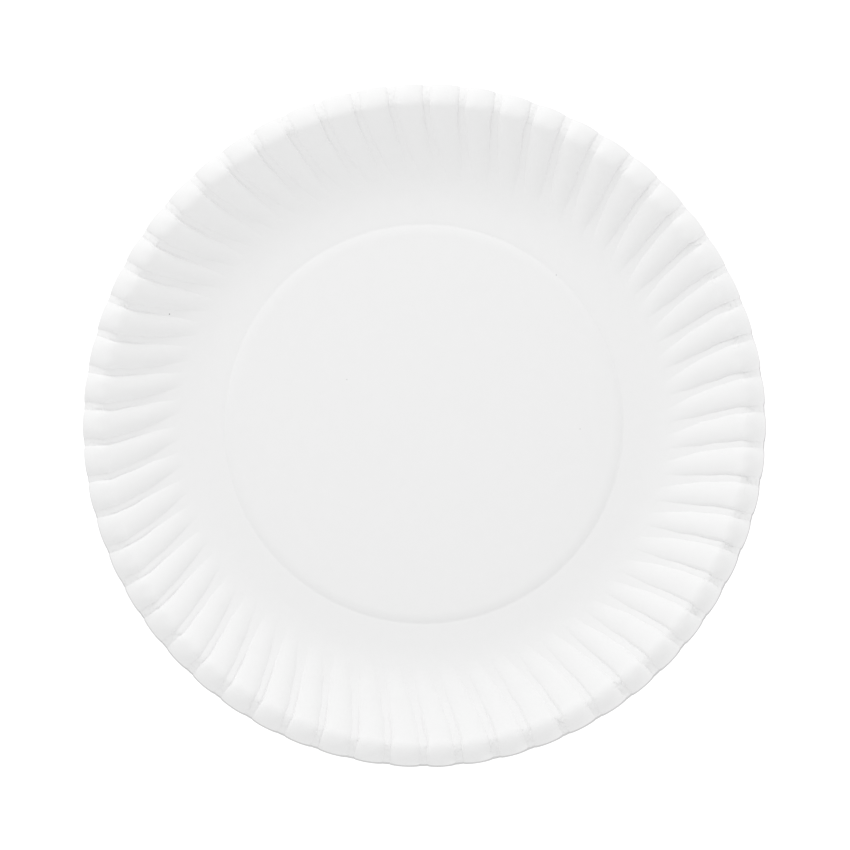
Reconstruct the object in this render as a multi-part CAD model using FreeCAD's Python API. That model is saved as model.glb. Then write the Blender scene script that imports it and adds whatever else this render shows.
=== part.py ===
"""Disposable paper plate, pressed from one round of board.

Inside out, the plate has a slightly domed centre panel, a shoulder that steps down from it to a flat
foot ring, a cove and a sloping wall, and a rim that turns over into a short lip. From the cove
outwards the board is pressed into flutes: rounded crowns with narrow flat valleys between them,
which sweep sideways on the wall and turn radial at the crest.

The section is a run of tangent arcs and one straight wall. Both skins of the board are facets between
rings of corners on that section, closed by the cut edge.

Millimetres, +Z up, origin under the middle of the plate on the plane that the foot ring rests on.
"""

import FreeCAD
import Part

import math
import os

BOARD = 0.35  # thickness of the board
PLATE_DIAMETER = 228.6  # over the crowns of the lip
PLATE_HEIGHT = 15.9  # from the foot to the top of the crowns
PANEL_RADIUS = 67.3  # where the centre panel's shoulder meets the foot ring
SHOULDER_WIDTH = 3.6  # measured along the radius
SHOULDER_DROP = 0.87  # from the edge of the dome down to the foot ring
PANEL_DOME = 0.8  # rise of the panel's middle over the top of its shoulder
FOOT_WIDTH = 7.3  # flat ring that the plate stands on
COVE_RADIUS = 40.0  # fillet between the foot ring and the wall
CREST_INNER_BEND = 2.6  # bend from the wall up to the crest, along a valley
CREST_OUTER_BEND = 6.5  # bend from the crest down the lip, along a valley
LIP_LENGTH = 6.6  # board from the crest to the cut edge

FLUTE_COUNT = 58
FLUTE_INSET = 6.8  # from the foot ring out to the flutes' pointed inner ends, along the radius
FLUTE_FADE = 13.0  # run, along the radius, over which a flute gains its depth on the wall
FLUTE_DEPTH_WALL = 1.2  # crown over valley, where the fade ends
FLUTE_DEPTH_LIP = 1.6  # crown over valley, at the crest and on the lip
VALLEY_WIDTH_START = 4.4  # flat between two crowns, where the flutes rise
VALLEY_WIDTH = 2.4  # flat between two crowns, from the end of the fade to the cut edge
VALLEY_ANGLE = 2.79  # degrees from +X to the first valley, at the rim
FLUTE_SWEEP = 4.2  # degrees that a flute's inner end lies behind its outer end
SWEEP_CURVE = 1.43  # 1 sweeps evenly along the radius, and more bends the flute towards its inner end
SWEEP_END_INSET = 1.3  # how far inside the crest the flutes have turned radial

CROWN_FACETS = 4  # across a crown
DOME_FACETS = 2  # along the radius, here and below
SHOULDER_FACETS = 2
FLUTED_COVE_FACETS = 3
INNER_BEND_FACETS = 2
LIP_FACETS = 3

WELD = 1e-6  # corners nearer than this are one
LARGEST_FADE_SHARE = 0.6  # of the room between the flutes' inner ends and the crest
LARGEST_COVE_SHARE = 0.98  # of the cove that would leave no straight wall


def steps(start, end, count):
    """Evenly spaced places after the start, up to the end."""
    return [start + (end - start) * step / count for step in range(1, count + 1)]


def smooth(share):
    """Smooth step from 0 to 1."""
    share = min(max(share, 0), 1)
    return share * share * (3 - 2 * share)


def centre_section(depth):
    """Radius and height of the dome's and shoulder's corners, sunk by a depth into the board."""
    dome_radius = PANEL_RADIUS - SHOULDER_WIDTH
    dome_bend = (dome_radius**2 + PANEL_DOME**2) / (2 * PANEL_DOME)
    dome_slope = math.asin(dome_radius / dome_bend)
    dome_axis = BOARD + SHOULDER_DROP + PANEL_DOME - dome_bend
    foot_slope = 2 * math.atan(SHOULDER_DROP / SHOULDER_WIDTH) - dome_slope
    shoulder_bend = SHOULDER_WIDTH / (math.sin(foot_slope) - math.sin(dome_slope))
    shoulder_radius = PANEL_RADIUS - shoulder_bend * math.sin(foot_slope)
    shoulder_axis = BOARD - shoulder_bend * math.cos(foot_slope)
    # under the board the shoulder meets the foot ring's plane at a slope of its own
    last_slope = math.acos((BOARD - depth - shoulder_axis) / (shoulder_bend - depth))
    corners = [(0, dome_axis + dome_bend - depth)]
    for slope in steps(0, dome_slope, DOME_FACETS):
        bend = dome_bend - depth
        corners.append((bend * math.sin(slope), dome_axis + bend * math.cos(slope)))
    for slope in steps(dome_slope, last_slope, SHOULDER_FACETS):
        bend = shoulder_bend - depth
        corners.append((shoulder_radius + bend * math.sin(slope), shoulder_axis + bend * math.cos(slope)))
    return corners


class Section:
    """Section of the board along a valley, measured in board from the foot ring to the cut edge."""

    def __init__(self):
        self.foot_radius = PANEL_RADIUS + FOOT_WIDTH
        crown_bend = CREST_OUTER_BEND + FLUTE_DEPTH_LIP
        self.crest_radius = PLATE_DIAMETER / 2 - crown_bend * math.sin(LIP_LENGTH / crown_bend)
        self.crest_height = PLATE_HEIGHT - FLUTE_DEPTH_LIP
        run = self.crest_radius - self.foot_radius
        rise = self.crest_height - BOARD
        largest_bends = LARGEST_COVE_SHARE * (run**2 + rise**2) / (2 * rise)
        self.cove = min(COVE_RADIUS, largest_bends - CREST_INNER_BEND)
        bends = self.cove + CREST_INNER_BEND
        tangent = math.asin(bends / math.hypot(run, bends - rise))
        self.wall_angle = tangent - math.atan2(bends - rise, run)
        wall_run = run - bends * math.sin(self.wall_angle)
        self.flute_start = self.cove * math.asin(FLUTE_INSET / self.cove)
        self.cove_end = self.cove * self.wall_angle
        self.wall_end = self.cove_end + wall_run / math.cos(self.wall_angle)
        self.crest = self.wall_end + CREST_INNER_BEND * self.wall_angle
        self.cut_edge = self.crest + LIP_LENGTH

    def fluted_places(self):
        places = steps(self.flute_start, self.cove_end, FLUTED_COVE_FACETS)
        places += [self.wall_end]
        places += steps(self.wall_end, self.crest, INNER_BEND_FACETS)
        places += steps(self.crest, self.cut_edge, LIP_FACETS)
        return places

    def point(self, place, depth, crown=0):
        """Radius and height on a valley's upper face, sunk by a depth and raised by a crown.

        A crown's lip bends wider than a valley's, and its board is no longer.
        """
        lift = crown - depth
        if place <= self.cove_end:
            angle = place / self.cove
            bend = self.cove - lift
            return self.foot_radius + bend * math.sin(angle), BOARD + self.cove - bend * math.cos(angle)
        if place <= self.wall_end:
            radius, height = self.point(self.cove_end, depth, crown)
            along = place - self.cove_end
            return radius + along * math.cos(self.wall_angle), height + along * math.sin(self.wall_angle)
        if place <= self.crest:
            axis_height = self.crest_height - CREST_INNER_BEND
            bend = CREST_INNER_BEND + lift
            angle = (place - self.crest) / CREST_INNER_BEND
        else:
            axis_height = self.crest_height - CREST_OUTER_BEND
            bend = CREST_OUTER_BEND + lift
            angle = (place - self.crest) / (CREST_OUTER_BEND + crown)
        return self.crest_radius + bend * math.sin(angle), axis_height + bend * math.cos(angle)


class Flutes:
    """Plan and depth of the flutes, by the radius along a valley."""

    def __init__(self, section):
        self.start = section.foot_radius + FLUTE_INSET
        self.crest = section.crest_radius
        self.fade = min(FLUTE_FADE, LARGEST_FADE_SHARE * (self.crest - self.start))
        self.pitch = 2 * math.pi / FLUTE_COUNT

    def faded(self, radius):
        return smooth((radius - self.start) / self.fade)

    def crown(self, radius):
        """Height of a crown over the valleys beside it."""
        fade_end = self.start + self.fade
        beyond = min(max((radius - fade_end) / (self.crest - fade_end), 0), 1)
        gain = FLUTE_DEPTH_LIP - FLUTE_DEPTH_WALL
        return FLUTE_DEPTH_WALL * self.faded(radius) + gain * beyond**2

    def valley(self, radius):
        """Angles of the first valley's two edges."""
        radial_from = self.crest - SWEEP_END_INSET
        inside = max((radial_from - radius) / (radial_from - self.start), 0)
        middle = math.radians(VALLEY_ANGLE - FLUTE_SWEEP * inside**SWEEP_CURVE)
        width = VALLEY_WIDTH_START + (VALLEY_WIDTH - VALLEY_WIDTH_START) * self.faded(radius)
        return middle - width / radius / 2, middle + width / radius / 2

    def first_crown(self):
        """Angle of the pointed inner end of the crown before the first valley."""
        start, end = self.valley(self.start)
        return (start + end - self.pitch) / 2


class Skin:
    """Facets between rings of numbered corners.

    Every ring has one entry for each corner of a fluted ring. A plain ring's entries repeat the corner
    at the inner end of their crown, and the facets that this leaves without a width are left out.
    """

    def __init__(self, flutes):
        self.flutes = flutes
        self.corners = []
        self.facets = []

    def corner(self, radius, height, angle):
        self.corners.append(FreeCAD.Vector(radius * math.cos(angle), radius * math.sin(angle), height))
        return len(self.corners) - 1

    def tip(self, height):
        """The middle of the panel, as a ring."""
        return [self.corner(0, height, 0)] * (FLUTE_COUNT * (CROWN_FACETS + 1))

    def plain_ring(self, radius, height):
        angles = [self.flutes.first_crown() + self.flutes.pitch * number for number in range(FLUTE_COUNT)]
        numbers = [self.corner(radius, height, angle) for angle in angles]
        ring = []
        for before, after in zip(numbers, numbers[1:] + numbers[:1]):
            ring += [before] + [after] * CROWN_FACETS
        return ring

    def fluted_ring(self, section, place, depth):
        """Valley edges, and corners across the parabola of each crown."""
        valley_radius = section.point(place, 0)[0]
        start, end = self.flutes.valley(valley_radius)
        ring = []
        for number in range(FLUTE_COUNT):
            turn = self.flutes.pitch * number
            ring.append(self.corner(*section.point(place, depth), start + turn))
            for step in range(CROWN_FACETS):
                across = step / CROWN_FACETS
                crown = 4 * across * (1 - across) * self.flutes.crown(valley_radius)
                angle = end + (start + self.flutes.pitch - end) * across + turn
                ring.append(self.corner(*section.point(place, depth, crown), angle))
        return ring

    def join(self, inner, outer, upwards):
        """Two facets for each entry, facing up or down."""
        for number in range(len(inner)):
            after = (number + 1) % len(inner)
            first = (inner[number], outer[after], inner[after])
            second = (inner[number], outer[number], outer[after])
            for facet in (first, second):
                if len(set(facet)) == 3:
                    self.facets.append(facet if upwards else facet[::-1])

    def join_all(self, rings, upwards):
        for inner, outer in zip(rings, rings[1:]):
            self.join(inner, outer, upwards)

    def flat(self, inner, outer):
        """One flat face between two plain rings at a height."""
        outlines = []
        for ring in (outer, inner):
            corners = [self.corners[number] for number in dict.fromkeys(ring)]
            outlines.append(Part.makePolygon(corners + corners[:1]))
        return Part.makeFace(outlines, "Part::FaceMakerBullseye")

    def centre_rings(self, depth):
        """Rings of the dome and the shoulder, out to the foot ring."""
        middle, *corners = centre_section(depth)
        return [self.tip(middle[1])] + [self.plain_ring(*corner) for corner in corners]

    def outer_rings(self, section, depth):
        """Rings from the foot ring out to the cut edge."""
        rings = [self.plain_ring(*section.point(place, depth)) for place in (0, section.flute_start)]
        return rings + [self.fluted_ring(section, place, depth) for place in section.fluted_places()]


def plate():
    section = Section()
    skin = Skin(Flutes(section))
    feet = []
    cut_edges = []
    for depth, upwards in ((0, True), (BOARD, False)):
        centre = skin.centre_rings(depth)
        outer = skin.outer_rings(section, depth)
        skin.join_all(centre, upwards)
        skin.join_all(outer, upwards)
        feet.append(skin.flat(centre[-1], outer[0]))
        cut_edges.append(outer[-1])
    skin.join_all(cut_edges, True)
    facets = Part.Shape()
    facets.makeShapeFromMesh((skin.corners, skin.facets), WELD)
    board = Part.makeCompound([facets] + feet)
    board.sewShape()
    solid = Part.makeSolid(board.Shells[0])
    if solid.Volume < 0:
        solid.reverse()
    return solid


def main():
    os.makedirs("parts", exist_ok=True)
    plate().exportStep("parts/plate.step")


main()
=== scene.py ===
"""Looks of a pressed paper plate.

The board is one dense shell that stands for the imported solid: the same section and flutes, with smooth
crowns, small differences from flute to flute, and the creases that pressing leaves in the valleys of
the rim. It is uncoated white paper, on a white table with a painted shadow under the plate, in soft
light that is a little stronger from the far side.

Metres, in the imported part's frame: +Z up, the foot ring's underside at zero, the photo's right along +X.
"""

import math

import bpy
import numpy as np
from mathutils import Matrix, Vector, noise


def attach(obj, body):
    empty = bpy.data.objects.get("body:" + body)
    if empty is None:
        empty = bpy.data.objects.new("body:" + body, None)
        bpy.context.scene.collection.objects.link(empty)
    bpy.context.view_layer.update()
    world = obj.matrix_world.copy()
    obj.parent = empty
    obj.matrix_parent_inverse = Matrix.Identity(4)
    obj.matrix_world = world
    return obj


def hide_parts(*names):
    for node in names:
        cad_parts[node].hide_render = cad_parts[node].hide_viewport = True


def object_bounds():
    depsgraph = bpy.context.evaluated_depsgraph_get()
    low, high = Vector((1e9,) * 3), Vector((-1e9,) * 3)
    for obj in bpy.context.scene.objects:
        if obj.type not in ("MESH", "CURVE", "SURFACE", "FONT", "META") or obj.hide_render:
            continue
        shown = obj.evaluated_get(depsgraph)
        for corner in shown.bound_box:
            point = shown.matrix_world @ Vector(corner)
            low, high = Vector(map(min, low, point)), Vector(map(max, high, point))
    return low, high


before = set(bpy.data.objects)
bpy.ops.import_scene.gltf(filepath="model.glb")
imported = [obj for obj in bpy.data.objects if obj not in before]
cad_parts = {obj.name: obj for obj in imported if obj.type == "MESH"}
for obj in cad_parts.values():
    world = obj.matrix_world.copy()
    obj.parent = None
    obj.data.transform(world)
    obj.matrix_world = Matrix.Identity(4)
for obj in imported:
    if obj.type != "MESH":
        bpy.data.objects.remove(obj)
cad_low, cad_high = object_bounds()

PLATE_RADIUS = (cad_high.x - cad_low.x) / 2
PLATE_HEIGHT = cad_high.z

BOARD = 0.00035
PANEL_RADIUS = 0.0673
SHOULDER_WIDTH = 0.0036
SHOULDER_DROP = 0.00087
PANEL_DOME = 0.0008
FOOT_RADIUS = 0.0746
COVE_RADIUS = 0.040
CREST_INNER_BEND = 0.0026
CREST_OUTER_BEND = 0.0065
LIP_LENGTH = 0.0066

FLUTE_COUNT = 58
PITCH = 2 * math.pi / FLUTE_COUNT
FLUTE_START = 0.0814
FLUTE_FADE = 0.013
FLUTE_DEPTH_WALL = 0.0012
FLUTE_DEPTH_LIP = 0.0016
VALLEY_WIDTH_START = 0.0044
VALLEY_WIDTH = 0.0024
VALLEY_ANGLE = math.radians(2.79)
FLUTE_SWEEP = math.radians(4.2)
SWEEP_CURVE = 1.43
SWEEP_END_INSET = 0.0013

# a crown's section is a parabola with steeper edges on the wall, and flatter on top at the crest
CROWN_POWER = 2.0
CROWN_EDGE_POWER = 10
CROWN_EDGE_SHARE = 0.13
CREST_POWER_GAIN = 1.3
CREST_POWER_REACH = 0.0022

SEED = 11

# how much one flute differs from the next
DEPTH_SPREAD = 0.08
WIDTH_SPREAD = 0.10
ANGLE_SPREAD = math.radians(0.10)
WOBBLE = 0.00006  # of a valley's line from side to side
WOBBLE_SHARE = 0.08  # of a valley's width
WOBBLE_LENGTH = 0.009
VIGOUR = (0.3, 1.0)  # of a valley's creases and crumpling

# low swells of the board, which fade in along the section from just inside the foot ring's edge
UNEVEN_HEIGHT = 0.00007
UNEVEN_SIZE = 0.009
UNEVEN_START = -0.004
UNEVEN_RUN = 0.008

# the rim's warp: its height, and the lobes, share and phase of each wave round the plate
RIM_WARP = 0.00022
RIM_WARP_WAVES = ((2, 1.0, 0.6), (3, 0.5, -1.1))

# fine folds along both edges of a valley, the one on the side of growing angle deeper
FOLD_DEPTHS = (0.00003, 0.00044)
FOLD_SHARES = (0.45, 1.0)  # of that depth, drawn for each fold
FOLD_WIDTH = 0.00036
FOLD_RIDGE = 0.12  # of a fold's depth, on its crown's side
FOLD_RIDGE_OUT = 2.2  # fold widths from the valley's edge
FOLD_START = 0.0935
FOLD_RUN = 0.008
FOLD_ON_LIP = 0.25  # share of a fold that goes on over the crest
LIP_FADE_START = -0.0004  # along the board from the crest
LIP_FADE_RUN = 0.0018

# creases in each valley's rim: kind, number, reach along the board from the crest, reach to either side,
# angle from the radius in degrees, half length, depth, and bend across the length
CREASES = (
    ("cross", 2, (-0.0006, 0.0026), 0.0006, (18, 48), (0.0017, 0.0030), (0.00012, 0.00028), 60),
    ("brow", 2, (-0.0008, 0.0012), 0.0024, (60, 90), (0.0009, 0.0018), (0.00010, 0.00022), 260),
    ("short", 5, (-0.0026, 0.0060), 0.0013, (0, 90), (0.0005, 0.0012), (0.00006, 0.00014), 200),
)
CREASE_WIDTH = (0.00018, 0.00028)
SINK_AND_RISE = (0.35, 0.65)  # shares of the creases

# fine crumpling in a valley's rim
CRUMPLE_START = -0.0026  # along the board from the crest
CRUMPLE_RUN = 0.0015
CRUMPLE_WIDTH = 0.0019

PANEL_CREASE_DEPTH = 0.00004

# the shell's rings, and the angle from which an edge is sharp
DOME_RINGS = 7
SHOULDER_RINGS = 8
FOOT_RINGS = (0.0003, 0.0015, 0.004)  # beyond the panel's crease
COVE_RINGS = 6
WALL_RINGS = 14
RIM_RINGS = 34
RIM_RINGS_START = -0.0012  # along the board from the wall's end
SHARP_ANGLE = math.radians(75)


def smooth(share):
    share = np.clip(share, 0, 1)
    return share * share * (3 - 2 * share)


class Section:
    """Section of the board along a valley, measured in board from the foot ring to the cut edge."""

    crown_bend = CREST_OUTER_BEND + FLUTE_DEPTH_LIP
    crest_radius = PLATE_RADIUS - crown_bend * math.sin(LIP_LENGTH / crown_bend)
    crest_height = PLATE_HEIGHT - FLUTE_DEPTH_LIP
    run = crest_radius - FOOT_RADIUS
    rise = crest_height - BOARD
    bends = COVE_RADIUS + CREST_INNER_BEND
    wall_angle = math.asin(bends / math.hypot(run, bends - rise)) - math.atan2(bends - rise, run)
    flute_start = COVE_RADIUS * math.asin((FLUTE_START - FOOT_RADIUS) / COVE_RADIUS)
    cove_end = COVE_RADIUS * wall_angle
    wall_end = cove_end + (run - bends * math.sin(wall_angle)) / math.cos(wall_angle)
    crest = wall_end + CREST_INNER_BEND * wall_angle
    cut_edge = crest + LIP_LENGTH

    @classmethod
    def point(cls, place, depth=0.0, crown=0.0, bump=0.0):
        """Radius and height on a valley's upper face, sunk by a depth and raised by a crown and a bump."""
        place, crown, bump = np.broadcast_arrays(np.asarray(place, float), crown, bump)
        lift = crown + bump - depth
        in_cove = np.minimum(place / COVE_RADIUS, cls.wall_angle)
        cove_bend = COVE_RADIUS - lift
        along_wall = np.clip(place - cls.cove_end, 0, None)
        radius = FOOT_RADIUS + cove_bend * np.sin(in_cove) + along_wall * math.cos(cls.wall_angle)
        height = BOARD + COVE_RADIUS - cove_bend * np.cos(in_cove) + along_wall * math.sin(cls.wall_angle)
        for start, bend, own in ((cls.wall_end, CREST_INNER_BEND, 0), (cls.crest, CREST_OUTER_BEND, 1)):
            angle = (place - cls.crest) / (bend + own * crown)
            bent_radius = cls.crest_radius + (bend + lift) * np.sin(angle)
            bent_height = cls.crest_height - bend + (bend + lift) * np.cos(angle)
            radius = np.where(place > start, bent_radius, radius)
            height = np.where(place > start, bent_height, height)
        return radius, height


class Flutes:
    """Plan and depth of the flutes, each a little different from the next."""

    def __init__(self):
        draw = np.random.default_rng(SEED)
        self.depth = 1 + DEPTH_SPREAD * draw.uniform(-1, 1, FLUTE_COUNT)
        self.width = 1 + WIDTH_SPREAD * draw.uniform(-1, 1, FLUTE_COUNT)
        self.turn = ANGLE_SPREAD * draw.uniform(-1, 1, FLUTE_COUNT)
        self.phase = draw.uniform(0, 2 * math.pi, (2, FLUTE_COUNT))
        self.vigour = draw.uniform(*VIGOUR, FLUTE_COUNT)
        self.fold = draw.uniform(*FOLD_SHARES, (FLUTE_COUNT, 2)) * np.array(FOLD_DEPTHS)
        self.crease = []
        for _, count, reach, aside, angle, length, depth, bend in CREASES:
            for number in range(count):
                lean = (-1) ** number
                self.crease.append({
                    "place": Section.crest + draw.uniform(*reach, FLUTE_COUNT),
                    "offset": aside * draw.uniform(-1, 1, FLUTE_COUNT),
                    "angle": lean * np.radians(draw.uniform(*angle, FLUTE_COUNT)),
                    "length": draw.uniform(*length, FLUTE_COUNT),
                    "width": draw.uniform(*CREASE_WIDTH, FLUTE_COUNT),
                    "bend": bend * draw.uniform(-1, 1, FLUTE_COUNT),
                    "depth": draw.uniform(*depth, FLUTE_COUNT) * self.sink_or_rise(draw) * self.vigour,
                })

    def sink_or_rise(self, draw):
        return draw.choice([-1, 1], FLUTE_COUNT, p=SINK_AND_RISE)

    def faded(self, radius):
        return smooth((radius - FLUTE_START) / FLUTE_FADE)

    def middle(self, radius, number):
        """Angle of the middle of a valley, on past the first flute without wrapping."""
        radial_from = Section.crest_radius - SWEEP_END_INSET
        inside = np.clip((radial_from - radius) / (radial_from - FLUTE_START), 0, 1)
        wobble = WOBBLE / radius * self.wave(radius, number, 0)
        own = (self.turn[number % FLUTE_COUNT] + wobble) * self.faded(radius)
        return VALLEY_ANGLE + PITCH * number - FLUTE_SWEEP * inside**SWEEP_CURVE + own

    def wave(self, radius, number, kind):
        return np.sin(2 * math.pi * radius / WOBBLE_LENGTH + self.phase[kind, number % FLUTE_COUNT])

    def half_width(self, radius, number):
        width = VALLEY_WIDTH_START + (VALLEY_WIDTH - VALLEY_WIDTH_START) * self.faded(radius)
        spread = self.width[number % FLUTE_COUNT] - 1 + WOBBLE_SHARE * self.wave(radius, number, 1)
        own = 1 + spread * self.faded(radius)
        return width * own / radius / 2

    def crown(self, radius, across, number):
        """Height over the valleys, at a share of the way across the crown after a valley."""
        fade_end = FLUTE_START + FLUTE_FADE
        beyond = np.clip((radius - fade_end) / (Section.crest_radius - fade_end), 0, 1)
        depth = FLUTE_DEPTH_WALL * self.faded(radius) + (FLUTE_DEPTH_LIP - FLUTE_DEPTH_WALL) * beyond**2
        near_crest = np.exp(-(((radius - Section.crest_radius) / CREST_POWER_REACH) ** 2))
        power = CROWN_POWER + CREST_POWER_GAIN * near_crest
        aside = np.abs(2 * across - 1)
        drop = (1 - CROWN_EDGE_SHARE) * aside**power + CROWN_EDGE_SHARE * aside**CROWN_EDGE_POWER
        return depth * self.depth[number % FLUTE_COUNT] * (1 - drop)

    def creases(self, place, radius, offset, number):
        """Height of the folds and creases in a valley, at a distance to the side of its middle."""
        edge = self.half_width(radius, number) * radius
        number = number % FLUTE_COUNT
        height = 0
        on_lip = smooth((place - Section.crest - LIP_FADE_START) / LIP_FADE_RUN)
        share = smooth((radius - FOLD_START) / FOLD_RUN) * (1 - (1 - FOLD_ON_LIP) * on_lip)
        for side in (0, 1):
            beyond = (2 * side - 1) * offset - edge
            fold = np.exp(-((beyond / FOLD_WIDTH) ** 2))
            ridge = FOLD_RIDGE * np.exp(-((beyond / FOLD_WIDTH - FOLD_RIDGE_OUT) ** 2))
            height = height + self.fold[number, side] * (ridge - fold) * share
        for crease in self.crease:
            own = {name: values[number] for name, values in crease.items()}
            ahead, aside = place - own["place"], offset - own["offset"]
            along = ahead * np.cos(own["angle"]) + aside * np.sin(own["angle"])
            across = aside * np.cos(own["angle"]) - ahead * np.sin(own["angle"]) - own["bend"] * along**2
            shape = np.exp(-((across / own["width"]) ** 2) - (along / own["length"]) ** 4)
            height = height + own["depth"] * shape
        return height

    def crumple(self, place, offset, number):
        """Share of the fine crumpling in a valley's rim."""
        along = smooth((place - Section.crest - CRUMPLE_START) / CRUMPLE_RUN)
        return along * np.exp(-((offset / CRUMPLE_WIDTH) ** 2)) * self.vigour[number % FLUTE_COUNT]


class Columns:
    """Places around a ring: shares of each valley, then shares of the crown after it."""

    def __init__(self, valley, crown):
        across = [(share, False) for share in valley] + [(share, True) for share in crown]
        self.share = np.tile([share for share, _ in across], FLUTE_COUNT)
        self.on_crown = np.tile([crowned for _, crowned in across], FLUTE_COUNT)
        self.number = np.repeat(np.arange(FLUTE_COUNT), len(across))
        self.order = self.number + (self.share + self.on_crown) / 2


class Board:
    """The shell's rings, each with the columns that it was made on."""

    def __init__(self, flutes):
        self.flutes = flutes
        self.corners = []
        self.crumpled = []
        self.faces = []
        self.count = 0

    def add(self, points, crumpled=0.0):
        self.corners.append(points)
        self.crumpled.append(np.broadcast_to(crumpled, len(points)))
        self.count += len(points)
        return np.arange(self.count - len(points), self.count)

    def uneven(self, angle, place):
        """Low swells of the board, in the same place on both faces."""
        reach = FOOT_RADIUS + place
        flat = np.stack([reach * np.cos(angle), reach * np.sin(angle)], -1) / UNEVEN_SIZE
        swell = [noise.noise(Vector((x, y, SEED))) for x, y in flat]
        return UNEVEN_HEIGHT * np.array(swell) * smooth((place - UNEVEN_START) / UNEVEN_RUN)

    def placed(self, radius, height, angle):
        share = smooth((radius - FOOT_RADIUS) / (PLATE_RADIUS - FOOT_RADIUS))
        waves = sum(part * np.cos(lobes * angle + phase) for lobes, part, phase in RIM_WARP_WAVES)
        warp = RIM_WARP * waves * share
        return np.stack([radius * np.cos(angle), radius * np.sin(angle), height + warp], -1)

    def angles(self, columns, radius):
        """Angle of each column, with the angles of the middles of the valleys before and after it."""
        before, after = columns.number, columns.number + 1
        middle, next_middle = self.flutes.middle(radius, before), self.flutes.middle(radius, after)
        half, next_half = self.flutes.half_width(radius, before), self.flutes.half_width(radius, after)
        in_valley = middle + (2 * columns.share - 1) * half
        start, end = middle + half, next_middle - next_half
        on_crown = start + (end - start) * columns.share
        return np.where(columns.on_crown, on_crown, in_valley), middle, next_middle

    def fluted_ring(self, columns, place, depth):
        radius = Section.point(place)[0]
        angle, middle, next_middle = self.angles(columns, radius)
        crown = np.where(columns.on_crown, self.flutes.crown(radius, columns.share, columns.number), 0)
        bump, crumpled = self.uneven(angle, place), 0
        for centre, number in ((middle, columns.number), (next_middle, columns.number + 1)):
            bump = bump + self.flutes.creases(place, radius, (angle - centre) * radius, number)
            crumpled = crumpled + self.flutes.crumple(place, (angle - centre) * radius, number)
        ring_radius, height = Section.point(place, depth, crown, bump)
        return columns, self.add(self.placed(ring_radius, height, angle), crumpled)

    def plain_ring(self, columns, radius, height):
        angle = self.angles(columns, FLUTE_START)[0]
        bump = self.uneven(angle, radius - FOOT_RADIUS)
        return columns, self.add(self.placed(np.full(angle.shape, radius), height + bump, angle))

    def join(self, inner, outer, upwards):
        """Quads between rings with the same columns, and triangles between others."""
        (inner_columns, first), (outer_columns, second) = inner, outer
        if inner_columns is outer_columns:
            after, second_after = np.roll(first, -1), np.roll(second, -1)
            faces = np.stack([first, second, second_after, after], 1).tolist()
        else:
            faces = self.zipped(inner_columns, first, outer_columns, second)
        self.faces += faces if upwards else [face[::-1] for face in faces]

    def zipped(self, inner_columns, first, outer_columns, second):
        """Triangles that go round two rings together, each step on the ring that is behind."""
        faces = []
        i = j = 0
        while i < len(first) or j < len(second):
            a, b = first[i % len(first)], second[j % len(second)]
            next_a = inner_columns.order[i + 1] if i + 1 < len(first) else FLUTE_COUNT
            next_b = outer_columns.order[j + 1] if j + 1 < len(second) else FLUTE_COUNT
            if j >= len(second) or (i < len(first) and next_a < next_b):
                i += 1
                faces.append([int(a), int(b), int(first[i % len(first)])])
            else:
                j += 1
                faces.append([int(a), int(b), int(second[j % len(second)])])
        return faces

    def fan(self, ring, height, upwards):
        tip = int(self.add(np.array([[0, 0, height]]))[0])
        numbers = ring[1].tolist()
        for before, after in zip(numbers, numbers[1:] + numbers[:1]):
            self.faces.append([tip, before, after] if upwards else [tip, after, before])


def centre_section(depth):
    """Radius and height of the dome's, shoulder's and foot ring's rings, with the middle first."""
    dome_radius = PANEL_RADIUS - SHOULDER_WIDTH
    dome_bend = (dome_radius**2 + PANEL_DOME**2) / (2 * PANEL_DOME)
    dome_slope = math.asin(dome_radius / dome_bend)
    dome_axis = BOARD + SHOULDER_DROP + PANEL_DOME - dome_bend
    foot_slope = 2 * math.atan(SHOULDER_DROP / SHOULDER_WIDTH) - dome_slope
    shoulder_bend = SHOULDER_WIDTH / (math.sin(foot_slope) - math.sin(dome_slope))
    shoulder_radius = PANEL_RADIUS - shoulder_bend * math.sin(foot_slope)
    shoulder_axis = BOARD - shoulder_bend * math.cos(foot_slope)
    last_slope = math.acos((BOARD - depth - shoulder_axis) / (shoulder_bend - depth))
    bend = dome_bend - depth
    corners = []
    for slope in np.linspace(0, dome_slope, DOME_RINGS):
        corners.append((bend * math.sin(slope), dome_axis + bend * math.cos(slope)))
    bend = shoulder_bend - depth
    for slope in np.linspace(dome_slope, last_slope, SHOULDER_RINGS)[1:]:
        corners.append((shoulder_radius + bend * math.sin(slope), shoulder_axis + bend * math.cos(slope)))
    crease, height = corners[-1]
    if not depth:
        corners[-1] = crease, height - PANEL_CREASE_DEPTH
    corners += [(crease + beyond, BOARD - depth) for beyond in FOOT_RINGS]
    return corners


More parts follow.
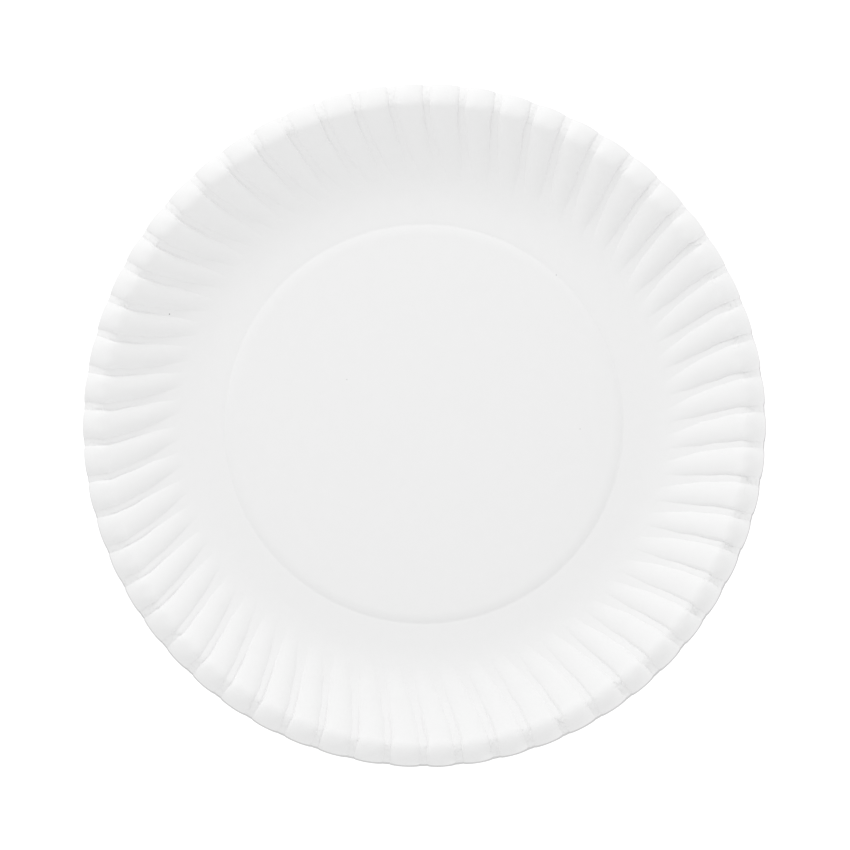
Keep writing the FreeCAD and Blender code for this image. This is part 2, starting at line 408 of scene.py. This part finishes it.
def make_board():
    """The plate, and the corners of its upper face's cut edge."""
    centre_columns = Columns([0, 1], [0.33, 0.67])
    # shares of a valley, then of half a crown, closest together at the valley's edge
    across = [0, 0.07, 0.15, 0.3, 0.5, 0.7, 0.85, 0.93]
    near = [0, 0.017, 0.035, 0.07, 0.13, 0.21, 0.32, 0.44]
    close = [0, 0.017, 0.035, 0.055, 0.08, 0.11, 0.145, 0.18, 0.22, 0.27, 0.34, 0.44]
    medium = Columns(across, near + [1 - share for share in near[:0:-1]])
    fine = Columns(across, close + [1 - share for share in close[:0:-1]])
    coarse = Columns([0, 1], [0.15, 0.38, 0.62, 0.85])
    board = Board(Flutes())
    rim_start = Section.wall_end + RIM_RINGS_START
    before_flutes = np.linspace(0, Section.flute_start, COVE_RINGS)
    wall = np.linspace(Section.flute_start, rim_start, WALL_RINGS)[1:]
    rim = np.linspace(rim_start, Section.cut_edge, RIM_RINGS)[1:]
    last = []
    for depth, columns, rim_columns, places, upwards in (
        (0.0, medium, fine, rim, True),
        (BOARD, coarse, coarse, rim[2::3], False),
    ):
        (_, middle), *corners = centre_section(depth)
        rings = [board.plain_ring(centre_columns, *corner) for corner in corners]
        rings += [board.plain_ring(centre_columns, *Section.point(place, depth)) for place in before_flutes]
        rings += [board.fluted_ring(columns, place, depth) for place in wall]
        rings += [board.fluted_ring(rim_columns, place, depth) for place in places]
        if not upwards:
            rings[-1] = board.fluted_ring(fine, Section.cut_edge, depth)
        board.fan(rings[0], middle, upwards)
        for inner, outer in zip(rings, rings[1:]):
            board.join(inner, outer, upwards)
        last.append(rings[-1])
    board.join(*last, True)
    corners = np.concatenate(board.corners)
    mesh = bpy.data.meshes.new("paper_plate")
    mesh.from_pydata(corners.tolist(), [], board.faces)
    attribute = mesh.attributes.new("crumple", "FLOAT", "POINT")
    attribute.data.foreach_set("value", np.concatenate(board.crumpled))
    mesh.validate()
    mesh.polygons.foreach_set("use_smooth", [True] * len(mesh.polygons))
    mesh.set_sharp_from_angle(angle=SHARP_ANGLE)
    plate = bpy.data.objects.new("paper_plate", mesh)
    bpy.context.collection.objects.link(plate)
    return plate, corners[last[0][1]]


class Nodes:
    """Short calls for a material's nodes."""

    def __init__(self, name):
        self.material = bpy.data.materials.new(name)
        self.material.use_nodes = True
        self.tree = self.material.node_tree
        self.shader = self.tree.nodes["Principled BSDF"]

    def add(self, kind, **values):
        node = self.tree.nodes.new(kind)
        for key, value in values.items():
            setattr(node, key, value)
        return node

    def link(self, source, target):
        self.tree.links.new(source, target)

    def noise(self, where, scale, detail):
        node = self.add("ShaderNodeTexNoise")
        node.inputs["Scale"].default_value = scale
        node.inputs["Detail"].default_value = detail
        self.link(where, node.inputs["Vector"])
        return node.outputs["Fac"]

    def math(self, operation, first, second):
        return self.calculate("ShaderNodeMath", operation, first, second).outputs[0]

    def vector(self, operation, first, second):
        return self.calculate("ShaderNodeVectorMath", operation, first, second).outputs

    def calculate(self, kind, operation, first, second):
        """One operation on two values, each a socket or a number."""
        node = self.add(kind, operation=operation)
        for socket, value in zip(node.inputs, (first, second)):
            if isinstance(value, bpy.types.NodeSocket):
                self.link(value, socket)
            else:
                socket.default_value = value
        return node

    def facets(self, where, scale):
        """Height of small flat facets, each tilted its own way."""
        cells = self.add("ShaderNodeTexVoronoi")
        cells.inputs["Scale"].default_value = scale
        self.link(where, cells.inputs["Vector"])
        tilt = self.vector("SUBTRACT", cells.outputs["Color"], (0.5, 0.5, 0.5))["Vector"]
        away = self.vector("SUBTRACT", where, cells.outputs["Position"])["Vector"]
        return self.vector("DOT_PRODUCT", tilt, away)["Value"]

    def spread(self, source, low, high):
        node = self.add("ShaderNodeMapRange")
        node.inputs["To Min"].default_value = low
        node.inputs["To Max"].default_value = high
        self.link(source, node.inputs["Value"])
        return node.outputs[0]


PAPER = 0.90
MOTTLE = 0.008
CLOUDS = (260, 4)  # scale and detail of each noise
FIBRES = (2600, 3)
TOOTH = (1500, 5)
TOOTH_HEIGHT = 0.00004
TOOTH_STRENGTH = 0.25
CLOUDS_IN_TOOTH = 0.6
ROUGHNESS = (0.84, 0.94)
GLOSS = 0.25
FACETS_SCALE = 560
FACETS_HEIGHT = 0.11

# across and down the photo in pixels, and the share of the paper's tone that is left
SPECKS = ((169, 314, 0.18), (347, 380, 0.7), (558, 275, 0.62), (582, 430, 0.74))
SPECK_RADIUS = 0.00026
PHOTO_CENTRE = (424.5, 425.0)
PHOTO_RIM_RADIUS = 341.6


def make_paper():
    """Uncoated white board: faint clouds of fibre, a fine tooth and a few dark specks."""
    paper = Nodes("uncoated_paper")
    where = paper.add("ShaderNodeTexCoord").outputs["Object"]
    clouds = paper.noise(where, *CLOUDS)
    fibres = paper.noise(where, *FIBRES)
    tone = paper.spread(clouds, PAPER - MOTTLE, PAPER + MOTTLE)
    tone = paper.math("ADD", tone, paper.spread(fibres, -MOTTLE, MOTTLE))
    scale = PLATE_RADIUS / PHOTO_RIM_RADIUS
    for x, y, left in SPECKS:
        spot = Vector(((x - PHOTO_CENTRE[0]) * scale, (PHOTO_CENTRE[1] - y) * scale))
        split = paper.add("ShaderNodeSeparateXYZ")
        paper.link(where, split.inputs[0])
        aside = paper.math("SUBTRACT", split.outputs["X"], spot.x)
        ahead = paper.math("SUBTRACT", split.outputs["Y"], spot.y)
        aside = paper.math("MULTIPLY", aside, aside)
        ahead = paper.math("MULTIPLY", ahead, ahead)
        square = paper.math("ADD", aside, ahead)
        clear = paper.math("MINIMUM", paper.math("DIVIDE", square, SPECK_RADIUS**2), 1.0)
        tone = paper.math("MULTIPLY", tone, paper.spread(clear, left, 1.0))
    colour = paper.add("ShaderNodeCombineColor")
    for channel in ("Red", "Green", "Blue"):
        paper.link(tone, colour.inputs[channel])
    paper.link(colour.outputs[0], paper.shader.inputs["Base Color"])
    paper.link(paper.spread(fibres, *ROUGHNESS), paper.shader.inputs["Roughness"])
    paper.shader.inputs["Specular IOR Level"].default_value = GLOSS
    bump = paper.add("ShaderNodeBump")
    bump.inputs["Strength"].default_value = TOOTH_STRENGTH
    bump.inputs["Distance"].default_value = TOOTH_HEIGHT
    cloudy = paper.math("MULTIPLY", clouds, CLOUDS_IN_TOOTH)
    tooth = paper.math("ADD", paper.noise(where, *TOOTH), cloudy)
    paper.link(tooth, bump.inputs["Height"])
    share = paper.add("ShaderNodeAttribute", attribute_name="crumple").outputs["Fac"]
    crumple = paper.add("ShaderNodeBump")
    crumple.inputs["Distance"].default_value = FACETS_HEIGHT
    height = paper.math("MULTIPLY", paper.facets(where, FACETS_SCALE), share)
    paper.link(height, crumple.inputs["Height"])
    paper.link(bump.outputs[0], crumple.inputs["Normal"])
    paper.link(crumple.outputs[0], paper.shader.inputs["Normal"])
    return paper.material


FLOOR_LEVEL = -0.0002
FLOOR_SIZE = 8
FLOOR_TONE = 0.9
FLOOR_GLOW = 0.45
# painted shadow: a darker grey sheet under the plate, with its margin past the rim and its shift towards
# -Y, that shows as a thin dark line past the rim
PAINTED_SHADOW_TONE = 0.75
PAINTED_SHADOW_MARGIN = 0.0009
PAINTED_SHADOW_SHIFT = Vector((0.00046, -0.00084, -0.0001))


def make_floor():
    floor = Nodes("white_floor")
    floor.shader.inputs["Emission Color"].default_value = (1, 1, 1, 1)
    floor.shader.inputs["Emission Strength"].default_value = FLOOR_GLOW
    bpy.ops.mesh.primitive_plane_add(size=FLOOR_SIZE, location=(0, 0, FLOOR_LEVEL))
    lay_floor(bpy.context.object, "floor", floor, FLOOR_TONE)


def make_painted_shadow(rim):
    """A painted shadow: a darker grey sheet under the plate, a little wider than the rim's outline and
    shifted towards -Y.
    """
    flat = rim * (1, 1, 0)
    out = flat / np.linalg.norm(flat, axis=1, keepdims=True)
    corners = flat + PAINTED_SHADOW_MARGIN * out + PAINTED_SHADOW_SHIFT
    mesh = bpy.data.meshes.new("painted_shadow")
    mesh.from_pydata(corners.tolist(), [], [list(range(len(corners)))])
    painted_shadow = bpy.data.objects.new("painted_shadow", mesh)
    bpy.context.collection.objects.link(painted_shadow)
    lay_floor(painted_shadow, "painted_shadow", Nodes("painted_shadow_floor"), PAINTED_SHADOW_TONE)


def lay_floor(piece, name, matt, tone):
    """A staged piece in a matt grey, which the camera sees and the plate's light leaves out."""
    matt.shader.inputs["Base Color"].default_value = (tone, tone, tone, 1)
    matt.shader.inputs["Roughness"].default_value = 1.0
    matt.shader.inputs["Specular IOR Level"].default_value = 0.0
    piece.name = name
    piece.data.materials.append(matt.material)
    piece.visible_diffuse = False
    piece.visible_glossy = False
    piece.visible_shadow = False


# strength of the sky overhead, at the horizon and below it
SKY_TOP = 0.752
SKY_EDGE = 1.104
UNDER = 0.795
HORIZON = -0.05

# azimuth and elevation in degrees, distance, size and watts
LAMPS = (
    ("window", 107, 27, 1.2, 0.5, 2.9),
    ("table_glow", -10, -12, 1.6, 0.4, 2.5),
)


def make_light():
    """A sky that is weaker overhead, and soft lamps that face the plate."""
    world = bpy.data.worlds.new("studio")
    bpy.context.scene.world = world
    world.use_nodes = True
    tree = world.node_tree
    way = tree.nodes.new("ShaderNodeTexCoord")
    split = tree.nodes.new("ShaderNodeSeparateXYZ")
    above = tree.nodes.new("ShaderNodeMapRange")
    below = tree.nodes.new("ShaderNodeMapRange")
    background = tree.nodes["Background"]
    for node, low, high, first, last in (
        (above, 0, 1, SKY_EDGE, SKY_TOP),
        (below, HORIZON, 0, UNDER / SKY_EDGE, 1),
    ):
        for socket, value in (("From Min", low), ("From Max", high), ("To Min", first), ("To Max", last)):
            node.inputs[socket].default_value = value
        tree.links.new(split.outputs["Z"], node.inputs["Value"])
    level = tree.nodes.new("ShaderNodeMath")
    level.operation = "MULTIPLY"
    tree.links.new(way.outputs["Generated"], split.inputs[0])
    tree.links.new(above.outputs[0], level.inputs[0])
    tree.links.new(below.outputs[0], level.inputs[1])
    tree.links.new(level.outputs[0], background.inputs["Strength"])
    background.inputs["Color"].default_value = (1, 1, 1, 1)
    for name, azimuth, elevation, distance, size, watts in LAMPS:
        lamp = bpy.data.lights.new(name, "AREA")
        lamp.shape = "DISK"
        lamp.size = size
        lamp.energy = watts
        source = bpy.data.objects.new(name, lamp)
        bpy.context.collection.objects.link(source)
        source.rotation_euler = (math.radians(90 - elevation), 0, math.radians(90 + azimuth))
        source.location = source.rotation_euler.to_matrix() @ Vector((0, 0, distance))


CAMERA_DISTANCE = 2.0
CAMERA_TILT = math.radians(2.7)
CAMERA_LEAN = Vector((-1.45, 1.66))  # the way the camera stands off the plate's axis
CAMERA_AIM = 0.00017  # off the plate's axis, towards the photo's top
CLIP_END = 20
PHOTO_SIDE = 850


def make_camera():
    """Nearly straight down, with the photo's top along +Y and the rim as large as in the photo."""
    camera = bpy.data.objects.new("camera", bpy.data.cameras.new("camera"))
    bpy.context.collection.objects.link(camera)
    target = Vector((0, CAMERA_AIM, Section.crest_height))
    lean = CAMERA_LEAN.normalized() * math.sin(CAMERA_TILT)
    back = Vector((lean.x, lean.y, math.cos(CAMERA_TILT)))
    right = Vector((0, 1, 0)).cross(back).normalized()
    up = back.cross(right)
    camera.location = target + back * CAMERA_DISTANCE
    camera.rotation_euler = Matrix((right, up, back)).transposed().to_euler()
    width = PHOTO_SIDE * PLATE_RADIUS / PHOTO_RIM_RADIUS
    camera.data.lens = camera.data.sensor_width * CAMERA_DISTANCE / width
    camera.data.clip_end = CLIP_END
    bpy.context.scene.camera = camera


make_camera()
make_light()
make_floor()
plate, rim = make_board()
plate.data.materials.append(make_paper())
# painted shadow under the plate
make_painted_shadow(rim)
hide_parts("plate")
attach(plate, "root")
bpy.context.scene.view_settings.view_transform = "Standard"
